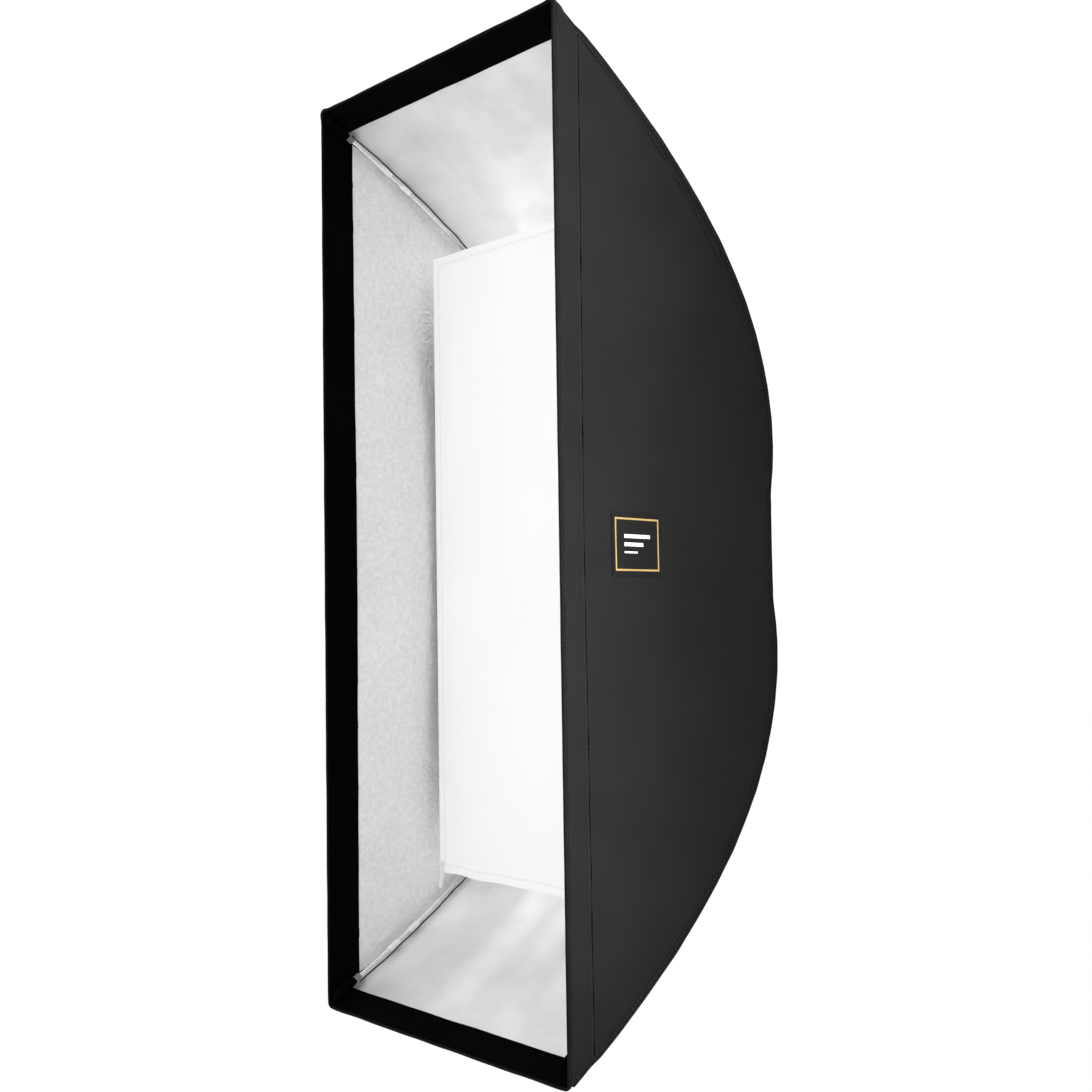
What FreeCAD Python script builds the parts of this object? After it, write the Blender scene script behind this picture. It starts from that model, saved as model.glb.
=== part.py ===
"""Quick-fold strip softbox, 356 x 914 mm, hung on a lamp by its bayonet insert.

The front opening faces -Y, +X is to the right seen from the front, +Z is up.
The origin is the centre of the plane where the insert meets the lamp.
Four sprung rods hinge on brackets around a speedring and hold out a fabric
shell with a black lip, a white inner baffle and a flat back panel.
"""
import FreeCAD, Part
import math
import os

# Driving dimensions, in millimetres
WIDTH = 356.0
HEIGHT = 914.0
SHELL_DEPTH = 332.5
FRONT_Y = -355.0
BACK_HALF_WIDTH = 130.0
BACK_HALF_HEIGHT = 50.0
ROD_BOW = 2.23
FABRIC = 2.0
GAP = 0.3
ROD_RADIUS = 2.5
RING_RADIUS = 94.0
COLLAR_BORE = 49.0

# The shell's panels
BACK_PANEL_TOP = 104.0
PANEL_STEPS = 12
CORNER_S = 0.995
SIDE_END = 455.0
LIP_DEPTH = 37.0
LIP_THICK = 1.0
LIP_TOP_DEPTH = 28.0
LIP_SIDE_END = 432.0
HEM_WIDTH = 6.0
HEM_THICK = 1.2
TAPE_WIDTH = 10.0
TAPE_THICK = 1.0
TAPE_END_S = 0.97
COLLAR_CLEARANCE = 2.0
COLLAR_HEM = 4.0

# The rods, which run inside the seams
ROD_INSET = 11.5
ROD_SIDE_INSET = 12.0
ROD_STEPS = 9
ROD_END_S = 0.985
POCKET_START_S = 0.955
POCKET_RADIUS = 5.2
POCKET_BORE = 3.9
TIP_RADIUS = 3.6
TIP_LENGTH = 9.0
LOOP_AT_S = (0.846, 0.884)
LOOP_LENGTH_S = 0.018
LOOP_RADIUS = 3.7
LOOP_BORE = 2.8

# The rod bases and their brackets
SOCKET_RADIUS = 4.0
SOCKET_LENGTH = 46.0
SOCKET_BORE = 2.55
SOCKET_FLOOR = 12.0
HUB_RADIUS = 5.2
EAR_GAP = 11.6
EAR_THICK = 2.4
EAR_FRONT = 9.0
EAR_TOP = 8.0
EAR_BOTTOM = 24.0
PLATE_THICK = 2.5
PLATE_TOP = 26.0
PIN_RADIUS = 2.0
PIN_CLEARANCE = 0.05
PIN_HEAD_RADIUS = 3.6
PIN_HEAD = 1.2
ARM_START = 62.0
ARM_HALF_WIDTH = 11.0
ARM_SCREW_RADII = (71.0, 87.0)

# The release latches
LATCH_PIN_RADIUS = 1.5
LATCH_WIDTH = 6.0
LATCH_HUB = 3.2
LATCH_DROP = 14.0
LATCH_BACK = 2.0
LATCH_TAB_REACH = 24.0
LATCH_TAB_DROP = 7.0
LATCH_TAB_THICK = 2.4
LATCH_PAD_START = 11.0
LATCH_PAD_WIDTH = 13.0
PAWL_TIP_GAP = 0.5
SPRING_RADIUS = 2.4

# The speedring and its rotating insert
RING_BACK = -4.0
RING_BORE = 57.0
RECESS_RADIUS = 68.0
RECESS_FLOOR = -14.0
COVER_BACK = -1.5
COVER_BORE = 58.5
COVER_RADIUS = 92.0
INSERT_HUB = 57.0
COLLAR_RADIUS = 51.5
COLLAR_LENGTH = 12.0
LUG_RADIUS = 57.0
LUG_THICK = 3.5
LUG_ANGLE = 36.0
RUNNING = 0.05
SCREW_RADIUS = 1.6
SCREW_HOLE = 1.7
SCREW_HEAD_RADIUS = 3.2
SCREW_HEAD = 1.2
COVER_SCREW_RADIUS = 80.0
COVER_SCREWS = 6
COVER_SCREW_DEPTH = 12.0
KNOB_Y = -9.0
KNOB_SHANK = 2.5
KNOB_SHANK_CLEARANCE = 0.1
KNOB_RADIUS = 8.0
KNOB_START = 97.0
KNOB_LENGTH = 15.0
KNOB_FLUTES = 10

# The inner baffle and the label
BAFFLE_Y = FRONT_Y + 122.0
BAFFLE_THICK = 1.5
BAFFLE_HALF_WIDTH = 151.0
BAFFLE_TOP = 316.0
BAFFLE_BOTTOM = -335.0
STRAP_WIDTH = 16.0
STRAP_THICK = 1.0
STRAP_REACH = 16.0
LABEL_Y = FRONT_Y + 105.0
LABEL_Z = -5.0
LABEL_LENGTH = 74.0
LABEL_HEIGHT = 56.0
LABEL_THICK = 0.8

V = FreeCAD.Vector
X_AXIS = V(1, 0, 0)
Y_AXIS = V(0, 1, 0)
Z_AXIS = V(0, 0, 1)
ORIGIN = V(0, 0, 0)
BACK_Y = FRONT_Y + SHELL_DEPTH
RISE = HEIGHT / 2 - BACK_HALF_HEIGHT
CORNERS = {
    "top_right": (1, 1),
    "top_left": (-1, 1),
    "bottom_right": (1, -1),
    "bottom_left": (-1, -1),
}


# The bowed outline, from the flat back (s = 0) to the front corner (s = 1)

def profile(s):
    """The shell's outline at s, as (y, z)."""
    return BACK_Y - SHELL_DEPTH * s**ROD_BOW, BACK_HALF_HEIGHT + RISE * s


def inward(s, distance):
    """The outline's point at s, moved in along its normal."""
    y, z = profile(s)
    along_y = -SHELL_DEPTH * ROD_BOW * s ** (ROD_BOW - 1)
    length = math.hypot(along_y, RISE)
    return y - distance * RISE / length, z + distance * along_y / length


def half_width(s):
    return BACK_HALF_WIDTH + (WIDTH / 2 - BACK_HALF_WIDTH) * s


def s_at_height(z):
    return max(0.0, (abs(z) - BACK_HALF_HEIGHT) / RISE)


def side_x(y, z):
    """Outer face of the side panel, which is straight from the front edge to its seam."""
    s = s_at_height(z)
    part_way = (y - FRONT_Y) / (profile(s)[0] - FRONT_Y)
    return WIDTH / 2 + (half_width(s) - WIDTH / 2) * part_way


def rod_point(s, side, level):
    y, z = inward(s, ROD_INSET)
    return V(side * (half_width(s) - ROD_SIDE_INSET), y, level * z)


HINGE = rod_point(0.0, 1, 1)


# Builders

def spread(first, last, steps):
    return [first + (last - first) * n / steps for n in range(steps + 1)]


def skin(sections):
    """A thin closed solid through four-cornered sections."""
    wires = [Part.makePolygon([V(*p) for p in section + section[:1]]) for section in sections]
    return Part.makeLoft(wires, True, True)


def tube(s_start, s_end, outer, bore, side, level):
    """A round tube or rod along a rod's curve. A bore of 0 makes it solid."""
    points = [rod_point(s, side, level) for s in spread(s_start, s_end, ROD_STEPS)]
    curve = Part.BSplineCurve()
    curve.interpolate(points)
    path = Part.Wire(curve.toShape())
    along = curve.tangent(curve.FirstParameter)[0]
    solids = [
        path.makePipeShell([Part.Wire(Part.makeCircle(radius, points[0], along))], True, True)
        for radius in (outer, bore)
        if radius > 0
    ]
    return solids[0] if len(solids) == 1 else solids[0].cut(solids[1])


def cylinder(radius, length, base, axis):
    return Part.makeCylinder(radius, length, base, axis)


def ring(outer, inner, back, front):
    """A flat ring about the Y axis, between y = front and y = back."""
    solid = cylinder(outer, back - front, V(0, front, 0), Y_AXIS)
    return solid.cut(cylinder(inner, back - front, V(0, front, 0), Y_AXIS))


def box(low, high):
    return Part.makeBox(high[0] - low[0], high[1] - low[1], high[2] - low[2], V(*low))


def at_corner(shape, side, level):
    """A piece made for the top right corner, mirrored to another corner."""
    if side < 0:
        shape = shape.mirror(ORIGIN, X_AXIS)
    if level < 0:
        shape = shape.mirror(ORIGIN, Z_AXIS)
    return shape


def group(shapes):
    return Part.makeCompound(shapes)


# The fabric shell

def side_heights(end):
    """Heights for a side wall's sections, up to end above and below."""
    up = [BACK_HALF_HEIGHT + RISE * s for s in spread(0, s_at_height(end), PANEL_STEPS)]
    return [-z for z in reversed(up)] + up


def side_panel(side):
    """A side wall, between the straight front edge and the bowed seams."""
    sections = []
    for z in side_heights(SIDE_END):
        s = s_at_height(z)
        seam_y, seam_x = profile(s)[0], half_width(s)
        sections.append([
            (side * WIDTH / 2, FRONT_Y, z),
            (side * seam_x, seam_y, z),
            (side * (seam_x - FABRIC), seam_y, z),
            (side * (WIDTH / 2 - FABRIC), FRONT_Y, z),
        ])
    return skin(sections)


def across(s, half, outer, inner, level=1):
    """A section that runs straight across the shell between two depths below its outline."""
    (outer_y, outer_z), (inner_y, inner_z) = inward(s, outer), inward(s, inner)
    return [
        (-half, outer_y, level * outer_z),
        (half, outer_y, level * outer_z),
        (half, inner_y, level * inner_z),
        (-half, inner_y, level * inner_z),
    ]


def end_panel(level):
    """The bowed top or bottom wall."""
    start = s_at_height(BACK_PANEL_TOP) + GAP / RISE
    inset = FABRIC + GAP
    steps = spread(start, CORNER_S, PANEL_STEPS)
    return skin([across(s, half_width(s) - inset, 0, FABRIC, level) for s in steps])


def back_panel():
    """The flat back, with a round hole for the speedring."""
    steps = spread(0, s_at_height(BACK_PANEL_TOP), PANEL_STEPS // 3)
    inset = FABRIC + GAP
    upper = [across(s, half_width(s) - inset, 0, FABRIC) for s in steps]
    lower = [across(s, half_width(s) - inset, 0, FABRIC, -1) for s in reversed(steps)]
    hole = cylinder(RING_RADIUS + COLLAR_CLEARANCE, 40, V(0, BACK_Y - 20, 0), Y_AXIS)
    return skin(lower + upper).cut(hole)


def side_lip(side):
    """The black lining along a side of the opening."""
    depth_in = FABRIC + GAP
    sections = []
    for z in side_heights(LIP_SIDE_END):
        front_x = side_x(FRONT_Y + 1, z) - depth_in
        rear_x = side_x(FRONT_Y + LIP_DEPTH, z) - depth_in
        sections.append([
            (side * front_x, FRONT_Y + 1, z),
            (side * rear_x, FRONT_Y + LIP_DEPTH, z),
            (side * (rear_x - LIP_THICK), FRONT_Y + LIP_DEPTH, z),
            (side * (front_x - LIP_THICK), FRONT_Y + 1, z),
        ])
    return skin(sections)


def end_lip(level):
    """The black lining along the top or bottom of the opening."""
    start = ((SHELL_DEPTH - LIP_TOP_DEPTH) / SHELL_DEPTH) ** (1 / ROD_BOW)
    side_inset = 2 * (FABRIC + GAP) + LIP_THICK
    outer = FABRIC + GAP
    return skin([
        across(s, half_width(s) - side_inset, outer, outer + LIP_THICK, level)
        for s in spread(start, CORNER_S, 2)
    ])


def front_hem():
    """The bound edge around the opening."""
    back = FRONT_Y - GAP
    front = back - HEM_THICK
    outer = box((-WIDTH / 2, front, -HEIGHT / 2), (WIDTH / 2, back, HEIGHT / 2))
    inner = box(
        (-WIDTH / 2 + HEM_WIDTH, front, -HEIGHT / 2 + HEM_WIDTH),
        (WIDTH / 2 - HEM_WIDTH, back, HEIGHT / 2 - HEM_WIDTH),
    )
    return outer.cut(inner)


def seam_binding(side, level):
    """The tape sewn over a bowed seam, on the side wall."""
    sections = []
    for s in spread(0.0, TAPE_END_S, PANEL_STEPS):
        edge_y, edge_z = profile(s)
        near_y, near_z = inward(s, TAPE_WIDTH)
        edge_x = half_width(s) + GAP
        near_x = side_x(near_y, near_z) + GAP
        sections.append([
            (side * near_x, near_y, level * near_z),
            (side * edge_x, edge_y, level * edge_z),
            (side * (edge_x + TAPE_THICK), edge_y, level * edge_z),
            (side * (near_x + TAPE_THICK), near_y, level * near_z),
        ])
    return skin(sections)


def collar_binding():
    """The elastic hem that grips the speedring behind the back panel."""
    inner = RING_RADIUS + GAP
    front = BACK_Y + GAP
    return ring(inner + COLLAR_HEM, inner, front + COLLAR_HEM, front)


def label_patch():
    """A small sewn label on the right wall."""
    face_x = side_x(LABEL_Y, LABEL_Z) + GAP
    patch = box((0, -LABEL_LENGTH / 2, -LABEL_HEIGHT / 2), (LABEL_THICK, LABEL_LENGTH / 2, LABEL_HEIGHT / 2))
    slope = math.degrees(math.atan2(WIDTH / 2 - BACK_HALF_WIDTH, SHELL_DEPTH))
    patch.rotate(ORIGIN, Z_AXIS, slope)
    patch.translate(V(face_x, LABEL_Y, LABEL_Z))
    return patch


# The inner baffle

def baffle():
    return box(
        (-BAFFLE_HALF_WIDTH, BAFFLE_Y, BAFFLE_BOTTOM),
        (BAFFLE_HALF_WIDTH, BAFFLE_Y + BAFFLE_THICK, BAFFLE_TOP),
    )


def baffle_straps():
    """Elastic straps from the baffle's four corners towards the seams."""
    straps = []
    for side, level in CORNERS.values():
        start_z = BAFFLE_TOP if level > 0 else -BAFFLE_BOTTOM
        strap = box(
            (BAFFLE_HALF_WIDTH - STRAP_WIDTH, BAFFLE_Y, start_z + GAP),
            (BAFFLE_HALF_WIDTH, BAFFLE_Y + STRAP_THICK, start_z + GAP + STRAP_REACH),
        )
        straps.append(at_corner(strap, side, level))
    return group(straps)


# The rods and their fittings

def rod(side, level):
    floor_s = SOCKET_FLOOR / RISE
    return tube(floor_s, ROD_END_S, ROD_RADIUS, 0, side, level)


def rod_tip(side, level):
    """A moulded cap over the end of a rod."""
    end = rod_point(ROD_END_S, side, level)
    before = rod_point(ROD_END_S - 0.01, side, level)
    along = (end - before).normalize()
    ball = Part.makeSphere(TIP_RADIUS, end + along * (TIP_RADIUS / 3))
    sleeve = cylinder(TIP_RADIUS, TIP_LENGTH, end - along * TIP_LENGTH, along)
    bore = cylinder(ROD_RADIUS + PIN_CLEARANCE, TIP_LENGTH, end - along * TIP_LENGTH, along)
    return sleeve.fuse(ball).removeSplitter().cut(bore)


def corner_pocket(side, level):
    """The webbing pocket that holds a rod's tip in the front corner."""
    return tube(POCKET_START_S, ROD_END_S, POCKET_RADIUS, POCKET_BORE, side, level)


def rod_loops(side, level):
    """Fabric loops that keep a rod beside its seam."""
    return group([
        tube(s, s + LOOP_LENGTH_S, LOOP_RADIUS, LOOP_BORE, side, level) for s in LOOP_AT_S
    ])


def rod_base(side, level):
    """The socket that holds a rod, with the hub that turns on the hinge pin."""
    start = rod_point(0.0, side, level)
    along = (rod_point(0.05, side, level) - start).normalize()
    socket = cylinder(SOCKET_RADIUS, SOCKET_LENGTH, start, along)
    hub_half = EAR_GAP / 2 - GAP
    hub = cylinder(HUB_RADIUS, 2 * hub_half, start - X_AXIS * hub_half, X_AXIS)
    base = socket.fuse(hub)
    pin_hole = cylinder(PIN_RADIUS + PIN_CLEARANCE, EAR_GAP, start - X_AXIS * (EAR_GAP / 2), X_AXIS)
    rod_hole = tube(SOCKET_FLOOR / RISE, ROD_END_S, SOCKET_BORE, 0, side, level)
    return base.cut(pin_hole).cut(rod_hole)


def bracket():
    """The top right bracket: an arm on the speedring with two ears for the rod base."""
    toward = V(HINGE.x, 0, HINGE.z).normalize()
    across_arm = V(-toward.z, 0, toward.x)
    front = BACK_Y - FABRIC - GAP - 1.2 - PLATE_THICK
    half = EAR_GAP / 2 + EAR_THICK
    low_z, high_z = HINGE.z - EAR_BOTTOM, HINGE.z + PLATE_TOP
    outline = [
        toward * ARM_START - across_arm * ARM_HALF_WIDTH,
        V(HINGE.x + half, 0, low_z),
        V(HINGE.x + half, 0, high_z),
        V(HINGE.x - half, 0, high_z),
        toward * ARM_START + across_arm * ARM_HALF_WIDTH,
    ]
    outline = [p + Y_AXIS * front for p in outline]
    plate = Part.Face(Part.makePolygon(outline + outline[:1])).extrude(Y_AXIS * PLATE_THICK)
    solid = plate
    for ear_x in (HINGE.x - half, HINGE.x + half - EAR_THICK):
        ear = box(
            (ear_x, HINGE.y - EAR_FRONT, low_z),
            (ear_x + EAR_THICK, front + PLATE_THICK, HINGE.z + EAR_TOP),
        )
        solid = solid.fuse(ear)
    solid = solid.cut(cylinder(PIN_RADIUS + PIN_CLEARANCE, 60, V(HINGE.x - 30, HINGE.y, HINGE.z), X_AXIS))
    latch_at = latch_pivot()
    solid = solid.cut(
        cylinder(LATCH_PIN_RADIUS + PIN_CLEARANCE, 60, V(HINGE.x - 30, latch_at.y, latch_at.z), X_AXIS)
    )
    for radius in ARM_SCREW_RADII:
        hole_at = toward * radius + Y_AXIS * (front - 5)
        solid = solid.cut(cylinder(SCREW_HOLE, 20, hole_at, Y_AXIS))
    return solid.removeSplitter()


def pin_across(radius, at, half_length):
    """A pin along X with a flat head at each end."""
    pin = cylinder(radius, 2 * half_length, at - X_AXIS * half_length, X_AXIS)
    for end, direction in ((half_length, X_AXIS), (-half_length, -X_AXIS)):
        head_radius = radius * PIN_HEAD_RADIUS / PIN_RADIUS
        pin = pin.fuse(cylinder(head_radius, PIN_HEAD, at + X_AXIS * end, direction))
    return pin.removeSplitter()


def hinge_pin():
    return pin_across(PIN_RADIUS, HINGE, EAR_GAP / 2 + EAR_THICK + RUNNING)


# The release latches

def latch_pivot():
    return V(HINGE.x, HINGE.y - LATCH_BACK, HINGE.z - LATCH_DROP)


def lever_plate(pivot, start, end, width):
    """A sloping plate of the latch lever, between two distances in front of its pivot."""
    slope = LATCH_TAB_DROP / LATCH_TAB_REACH
    half = LATCH_TAB_THICK / 2
    line = [
        V(pivot.x - width / 2, pivot.y - reach, pivot.z - slope * reach + rise)
        for reach, rise in ((start, half), (end, half), (end, -half), (start, -half))
    ]
    return Part.Face(Part.makePolygon(line + line[:1])).extrude(X_AXIS * width)


def latch():
    """A lever with a pawl under the rod base's hub and a thumb tab."""
    pivot = latch_pivot()
    half = LATCH_WIDTH / 2
    hub = cylinder(LATCH_HUB, LATCH_WIDTH, pivot - X_AXIS * half, X_AXIS)
    pawl_top = HINGE.z - HUB_RADIUS - PAWL_TIP_GAP
    pawl = box((pivot.x - half, pivot.y - 2.6, pivot.z), (pivot.x + half, pivot.y + 1.2, pawl_top))
    arm = lever_plate(pivot, 0, LATCH_TAB_REACH, LATCH_WIDTH)
    pad = lever_plate(pivot, LATCH_PAD_START, LATCH_TAB_REACH, LATCH_PAD_WIDTH)
    hole = cylinder(LATCH_PIN_RADIUS + PIN_CLEARANCE, 20, pivot - X_AXIS * 10, X_AXIS)
    return hub.fuse([pawl, arm, pad]).removeSplitter().cut(hole)


def latch_pins():
    pin = pin_across(LATCH_PIN_RADIUS, latch_pivot(), EAR_GAP / 2 + EAR_THICK + RUNNING)
    return group([at_corner(pin, *corner) for corner in CORNERS.values()])


def latch_springs():
    """A coiled return spring on each latch pin, drawn as its sleeve."""
    pivot = latch_pivot()
    start = LATCH_WIDTH / 2 + GAP
    length = EAR_GAP / 2 - start - GAP
    sleeve = cylinder(SPRING_RADIUS, length, pivot + X_AXIS * start, X_AXIS)
    sleeve = sleeve.cut(cylinder(LATCH_PIN_RADIUS + RUNNING, length, pivot + X_AXIS * start, X_AXIS))
    return group([at_corner(sleeve, *corner) for corner in CORNERS.values()])


# The speedring

def ring_front():
    """The plane where the brackets' arms lie on the speedring."""
    return BACK_Y - FABRIC - GAP - 1.2


def cover_screw_places():
    for n in range(COVER_SCREWS):
        angle = math.radians(360 / COVER_SCREWS * n)
        yield V(COVER_SCREW_RADIUS * math.cos(angle), 0, COVER_SCREW_RADIUS * math.sin(angle))


def arm_screw_places():
    toward = V(HINGE.x, 0, HINGE.z).normalize()
    for side, level in CORNERS.values():
        for radius in ARM_SCREW_RADII:
            yield V(side * toward.x * radius, 0, level * toward.z * radius)


def speedring_body():
    body = ring(RING_RADIUS, RING_BORE, RING_BACK, ring_front())
    body = body.cut(ring(RECESS_RADIUS, 1, RING_BACK, RECESS_FLOOR))
    for place in cover_screw_places():
        body = body.cut(cylinder(SCREW_HOLE, COVER_SCREW_DEPTH, V(place.x, RING_BACK, place.z), -Y_AXIS))
    for place in arm_screw_places():
        body = body.cut(cylinder(SCREW_HOLE, COVER_SCREW_DEPTH, V(place.x, ring_front(), place.z), Y_AXIS))
    shank_hole = cylinder(KNOB_SHANK + KNOB_SHANK_CLEARANCE, 40, V(0, KNOB_Y, -RING_RADIUS - 5), Z_AXIS)
    return body.cut(shank_hole)


def retaining_ring():
    cover = ring(COVER_RADIUS, COVER_BORE, COVER_BACK, RING_BACK)
    for place in cover_screw_places():
        cover = cover.cut(cylinder(SCREW_HOLE, 20, V(place.x, RING_BACK - 5, place.z), Y_AXIS))
    return cover


def screw(place, head_y, direction, shank):
    head = cylinder(SCREW_HEAD_RADIUS, SCREW_HEAD, V(place.x, head_y, place.z), direction)
    return head.fuse(cylinder(SCREW_RADIUS, shank, V(place.x, head_y, place.z), -direction))


def retaining_screws():
    return group([screw(place, COVER_BACK, Y_AXIS, 10) for place in cover_screw_places()])


def bracket_screws():
    head_y = ring_front() - PLATE_THICK
    return group([screw(place, head_y, -Y_AXIS, 10) for place in arm_screw_places()])


def mount_insert():
    """The bayonet insert: a rim held in the speedring, a flat shoulder and a lugged collar."""
    rim = ring(RECESS_RADIUS - RUNNING, COLLAR_BORE, RING_BACK - RUNNING, RECESS_FLOOR + RUNNING)
    shoulder = ring(INSERT_HUB, COLLAR_BORE, 0, RECESS_FLOOR + RUNNING)
    collar = ring(COLLAR_RADIUS, COLLAR_BORE, COLLAR_LENGTH, -1)
    insert = rim.fuse([shoulder, collar])
    lug_ring = ring(LUG_RADIUS, COLLAR_BORE, COLLAR_LENGTH, COLLAR_LENGTH - LUG_THICK)
    for n in range(3):
        sector = Part.makeCylinder(
            LUG_RADIUS + 5, LUG_THICK, V(0, COLLAR_LENGTH - LUG_THICK, 0), Y_AXIS, LUG_ANGLE
        )
        sector.rotate(ORIGIN, Y_AXIS, 120 * n + 20)
        insert = insert.fuse(sector.common(lug_ring))
    return insert.removeSplitter()


def lock_knob():
    """The fluted screw that clamps the insert, below the speedring."""
    knob = cylinder(KNOB_RADIUS, KNOB_LENGTH, V(0, KNOB_Y, -KNOB_START), -Z_AXIS)
    for n in range(KNOB_FLUTES):
        angle = 2 * math.pi * n / KNOB_FLUTES
        flute_at = V(KNOB_RADIUS * math.cos(angle), KNOB_Y + KNOB_RADIUS * math.sin(angle), -KNOB_START)
        knob = knob.cut(cylinder(1.1, KNOB_LENGTH, flute_at, -Z_AXIS))
    shank_top = RECESS_RADIUS + GAP
    shank = cylinder(KNOB_SHANK, KNOB_START - shank_top + 1, V(0, KNOB_Y, -shank_top), -Z_AXIS)
    return knob.fuse(shank)


def parts():
    """Every node's name and shape."""
    yield "mount_insert", mount_insert()
    yield "speedring_body", speedring_body()
    yield "retaining_ring", retaining_ring()
    yield "retaining_screws", retaining_screws()
    yield "bracket_screws", bracket_screws()
    yield "lock_knob", lock_knob()
    yield "latch_pins", latch_pins()
    yield "latch_springs", latch_springs()
    for name, corner in CORNERS.items():
        yield "bracket_" + name, at_corner(bracket(), *corner)
        yield "hinge_pin_" + name, at_corner(hinge_pin(), *corner)
        yield "latch_" + name, at_corner(latch(), *corner)
        yield "rod_base_" + name, rod_base(*corner)
        yield "rod_" + name, rod(*corner)
        yield "rod_tip_" + name, rod_tip(*corner)
        yield "corner_pocket_" + name, corner_pocket(*corner)
        yield "rod_loops_" + name, rod_loops(*corner)
        yield "seam_binding_" + name, seam_binding(*corner)
    for name, side in (("right", 1), ("left", -1)):
        yield "shell_" + name, side_panel(side)
        yield "lip_" + name, side_lip(side)
    for name, level in (("top", 1), ("bottom", -1)):
        yield "shell_" + name, end_panel(level)
        yield "lip_" + name, end_lip(level)
    yield "shell_back", back_panel()
    yield "front_hem", front_hem()
    yield "collar_binding", collar_binding()
    yield "label_patch", label_patch()
    yield "baffle", baffle()
    yield "baffle_straps", baffle_straps()


os.makedirs("parts", exist_ok=True)
for node, shape in parts():
    shape.exportStep("parts/" + node + ".step")
    print(node, len(shape.Solids), round(shape.Volume), shape.isValid())
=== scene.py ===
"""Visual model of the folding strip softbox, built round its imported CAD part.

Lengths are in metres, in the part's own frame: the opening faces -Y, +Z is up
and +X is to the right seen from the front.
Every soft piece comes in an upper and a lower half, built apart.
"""

import math

import bpy
import numpy as np
from mathutils import Matrix, Vector


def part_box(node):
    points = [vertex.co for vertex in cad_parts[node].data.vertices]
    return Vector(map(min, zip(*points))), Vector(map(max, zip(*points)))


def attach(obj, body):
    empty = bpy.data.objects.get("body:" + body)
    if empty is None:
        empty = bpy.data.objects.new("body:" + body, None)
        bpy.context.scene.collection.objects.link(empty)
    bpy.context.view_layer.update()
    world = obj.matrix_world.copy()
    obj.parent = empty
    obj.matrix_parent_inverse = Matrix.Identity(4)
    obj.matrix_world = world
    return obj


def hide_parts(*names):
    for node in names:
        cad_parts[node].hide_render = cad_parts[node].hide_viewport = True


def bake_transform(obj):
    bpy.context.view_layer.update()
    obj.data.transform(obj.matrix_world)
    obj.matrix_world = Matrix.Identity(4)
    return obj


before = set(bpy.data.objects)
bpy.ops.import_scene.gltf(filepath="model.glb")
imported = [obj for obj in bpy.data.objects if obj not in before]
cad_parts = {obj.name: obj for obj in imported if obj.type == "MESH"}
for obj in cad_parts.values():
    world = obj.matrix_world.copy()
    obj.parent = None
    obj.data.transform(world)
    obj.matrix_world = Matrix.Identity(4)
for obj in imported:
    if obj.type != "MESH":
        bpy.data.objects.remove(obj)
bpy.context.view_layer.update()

LEVELS = {"top": 1, "bottom": -1}
SIDES = {"right": 1, "left": -1}

# The shell's outline. The boxes are the CAD nodes' own; the bow and the back's width match the CAD
SHELL_LOW, SHELL_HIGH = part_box("shell_right")
HEM_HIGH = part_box("front_hem")[1]
PIN_LOW, PIN_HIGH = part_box("hinge_pin_top_right")
BAFFLE_LOW, BAFFLE_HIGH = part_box("baffle")
LABEL_LOW, LABEL_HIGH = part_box("label_patch")
FRONT_Y = SHELL_LOW.y
BACK_Y = SHELL_HIGH.y
HALF_WIDTH = HEM_HIGH.x
HALF_HEIGHT = HEM_HIGH.z
BACK_HALF_HEIGHT = (PIN_LOW.z + PIN_HIGH.z) / 2
BACK_HALF_WIDTH = 0.130
ROD_BOW = 2.23
DEPTH = BACK_Y - FRONT_Y
RISE = HALF_HEIGHT - BACK_HALF_HEIGHT
PANEL_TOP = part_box("shell_back")[1].z

# Where the fabric pieces begin and end, and how the layers lie
CORNER_RADIUS = 0.005
BAND_DEPTH = 0.0312
BAND_EDGE = 0.0302
BAND_TUCK = 0.0345
BAND_Y = FRONT_Y + BAND_DEPTH
OUTER_THICK = 0.0008
LINER_INSET = 0.0015
LINER_THICK = 0.0005
LIP_FRONT_INSET = 0.0016
LIP_REAR_INSET = 0.0028
LIP_THICK = 0.0008
LINER_UNDER_LIP = 0.004
LIP_SIDE_DEPTH = 0.0335
LIP_END_DEPTH = {"top": 0.027, "bottom": 0.0235}
ROD_INSET = 0.0115
ROD_SIDE_INSET = 0.012


# The outline

def profile(s):
    """The outline's (y, z) at s, which is 0 at the flat back and 1 at the front corner."""
    return BACK_Y - DEPTH * np.power(s, ROD_BOW), BACK_HALF_HEIGHT + RISE * s


def profile_normal(s):
    """The outline's outward (y, z) direction at s."""
    slope = DEPTH * ROD_BOW * np.power(s, ROD_BOW - 1)
    length = np.hypot(slope, RISE)
    return RISE / length, slope / length


def s_at_height(z):
    return np.maximum(0.0, (np.abs(z) - BACK_HALF_HEIGHT) / RISE)


def s_at_depth(y):
    return np.power(np.clip((BACK_Y - y) / DEPTH, 0.0, 1.0), 1 / ROD_BOW)


def half_width(s):
    return BACK_HALF_WIDTH + (HALF_WIDTH - BACK_HALF_WIDTH) * s


def side_x(y, z):
    """Half the width across the side panels, straight from the front edge to the seam."""
    s = s_at_height(z)
    reach = np.maximum(profile(s)[0] - FRONT_Y, 1e-6)
    share = np.clip((y - FRONT_Y) / reach, 0.0, 1.0)
    return HALF_WIDTH + (half_width(s) - HALF_WIDTH) * share


def over_outline(s, x, out, level):
    """Points at x across the bowed outline and out from it, where s says how far along."""
    y, z = profile(s)
    out_y, out_z = profile_normal(s)
    points = (x, y + out * out_y, LEVELS[level] * (z + out * out_z))
    return np.stack(np.broadcast_arrays(*points), axis=-1)


BAND_S = float(s_at_depth(BAND_Y))
BAND_Z = float(profile(BAND_S)[1])


# Uneven waves and folds

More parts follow.
